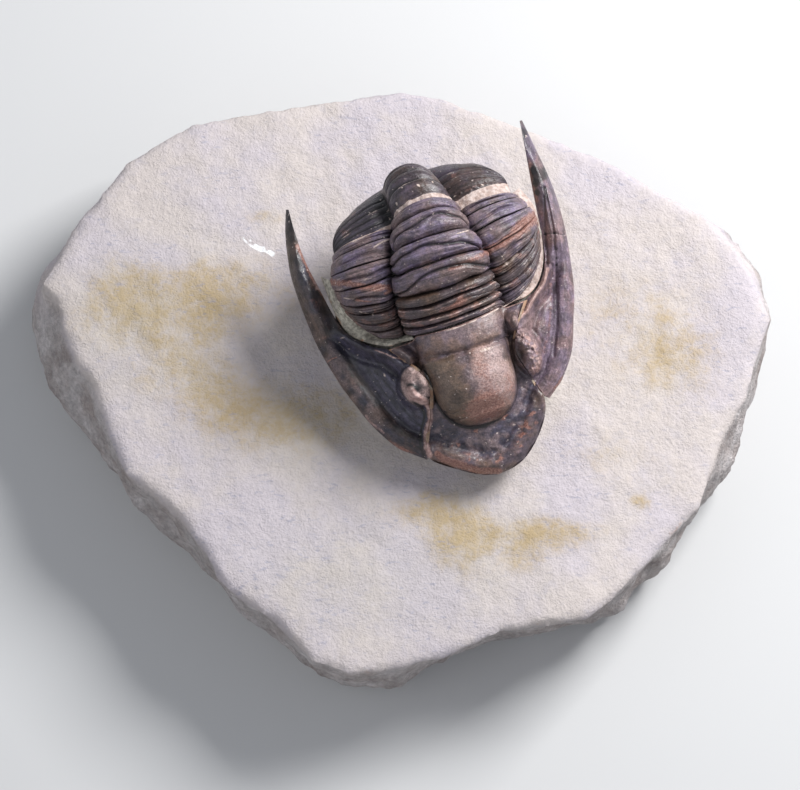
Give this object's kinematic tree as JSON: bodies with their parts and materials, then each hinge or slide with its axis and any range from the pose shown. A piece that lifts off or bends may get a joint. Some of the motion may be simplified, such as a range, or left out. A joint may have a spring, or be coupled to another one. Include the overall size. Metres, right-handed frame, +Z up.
{
  "type": "trilobite fossil",
  "caption": "Trilobite fossil with an arched, ringed back, domed head and long cheek spines, standing in high relief on a rough limestone slab.",
  "frame": {"origin": "centre of the object's bounding box, on the flat base of the slab", "axes": "+X to the right and +Y away, as the slab lies flat and the animal's head points roughly toward the viewer (-Y); +Z up, out of the slab's face"},
  "size_m": [0.0714, 0.0582, 0.0299],
  "materials": {
    "pale_limestone": "matt, fine-grained, worn by air abrasion",
    "cranidium_shell": "dark calcite with a dull sheen",
    "left_free_cheek_shell": "dark calcite with a dull sheen",
    "right_free_cheek_shell": "dark calcite with a dull sheen",
    "thorax_segment_01_shell": "dark calcite with a dull sheen",
    "thorax_segment_02_shell": "dark calcite with a dull sheen",
    "thorax_segment_03_shell": "dark calcite with a dull sheen",
    "thorax_segment_04_shell": "dark calcite with a dull sheen",
    "thorax_segment_05_shell": "dark calcite with a dull sheen",
    "thorax_segment_06_shell": "dark calcite with a dull sheen",
    "thorax_segment_07_shell": "dark calcite with a dull sheen",
    "thorax_segment_08_shell": "dark calcite with a dull sheen",
    "pygidium_shell": "dark calcite with a dull sheen"
  },
  "bodies": {
    "root": {"matrix": "pale_limestone", "cranidium": "cranidium_shell", "left_free_cheek": "left_free_cheek_shell", "right_free_cheek": "right_free_cheek_shell", "thorax_segment_01": "thorax_segment_01_shell", "thorax_segment_02": "thorax_segment_02_shell", "thorax_segment_03": "thorax_segment_03_shell", "thorax_segment_04": "thorax_segment_04_shell", "thorax_segment_05": "thorax_segment_05_shell", "thorax_segment_06": "thorax_segment_06_shell", "thorax_segment_07": "thorax_segment_07_shell", "thorax_segment_08": "thorax_segment_08_shell", "pygidium": "pygidium_shell"}
  },
  "joints": []
}
